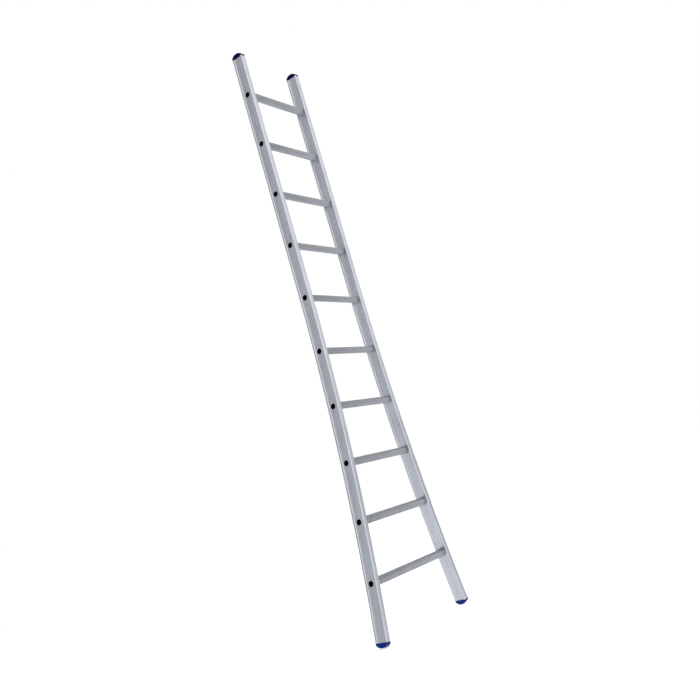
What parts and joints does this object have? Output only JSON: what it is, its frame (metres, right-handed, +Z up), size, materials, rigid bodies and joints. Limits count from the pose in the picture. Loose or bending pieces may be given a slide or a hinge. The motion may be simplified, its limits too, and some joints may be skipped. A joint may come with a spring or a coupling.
{
  "type": "leaning ladder",
  "caption": "Single-section aluminium leaning ladder with square ribbed rungs, a flared base, black rung plugs and blue end caps.",
  "frame": {"origin": "on the ground, midway between the two feet, at half the depth of the stiles", "axes": "+Z up along the ladder, +X along the rungs to the right for a climber who faces the ladder, +Y from the climber's side towards the wall"},
  "size_m": [0.7044, 0.0592, 2.7132],
  "materials": {
    "stile_aluminium": "satin mill finish with fine lengthwise drawing lines",
    "rung_aluminium": "satin, ribbed along its length",
    "blue_plastic": "moulded, satin",
    "black_plastic": "moulded, matt"
  },
  "bodies": {
    "root": {"left_stile": "stile_aluminium", "left_top_cap": "blue_plastic", "left_foot": "blue_plastic", "right_stile": "stile_aluminium", "right_top_cap": "blue_plastic", "right_foot": "blue_plastic", "rung_01": "rung_aluminium", "rung_02": "rung_aluminium", "rung_03": "rung_aluminium", "rung_04": "rung_aluminium", "rung_05": "rung_aluminium", "rung_06": "rung_aluminium", "rung_07": "rung_aluminium", "rung_08": "rung_aluminium", "rung_09": "rung_aluminium", "rung_10": "rung_aluminium", "rung_plug_left_01": "black_plastic", "rung_plug_left_02": "black_plastic", "rung_plug_left_03": "black_plastic", "rung_plug_left_04": "black_plastic", "rung_plug_left_05": "black_plastic", "rung_plug_left_06": "black_plastic", "rung_plug_left_07": "black_plastic", "rung_plug_left_08": "black_plastic", "rung_plug_left_09": "black_plastic", "rung_plug_left_10": "black_plastic", "rung_plug_right_01": "black_plastic", "rung_plug_right_02": "black_plastic", "rung_plug_right_03": "black_plastic", "rung_plug_right_04": "black_plastic", "rung_plug_right_05": "black_plastic", "rung_plug_right_06": "black_plastic", "rung_plug_right_07": "black_plastic", "rung_plug_right_08": "black_plastic", "rung_plug_right_09": "black_plastic", "rung_plug_right_10": "black_plastic"}
  },
  "joints": []
}
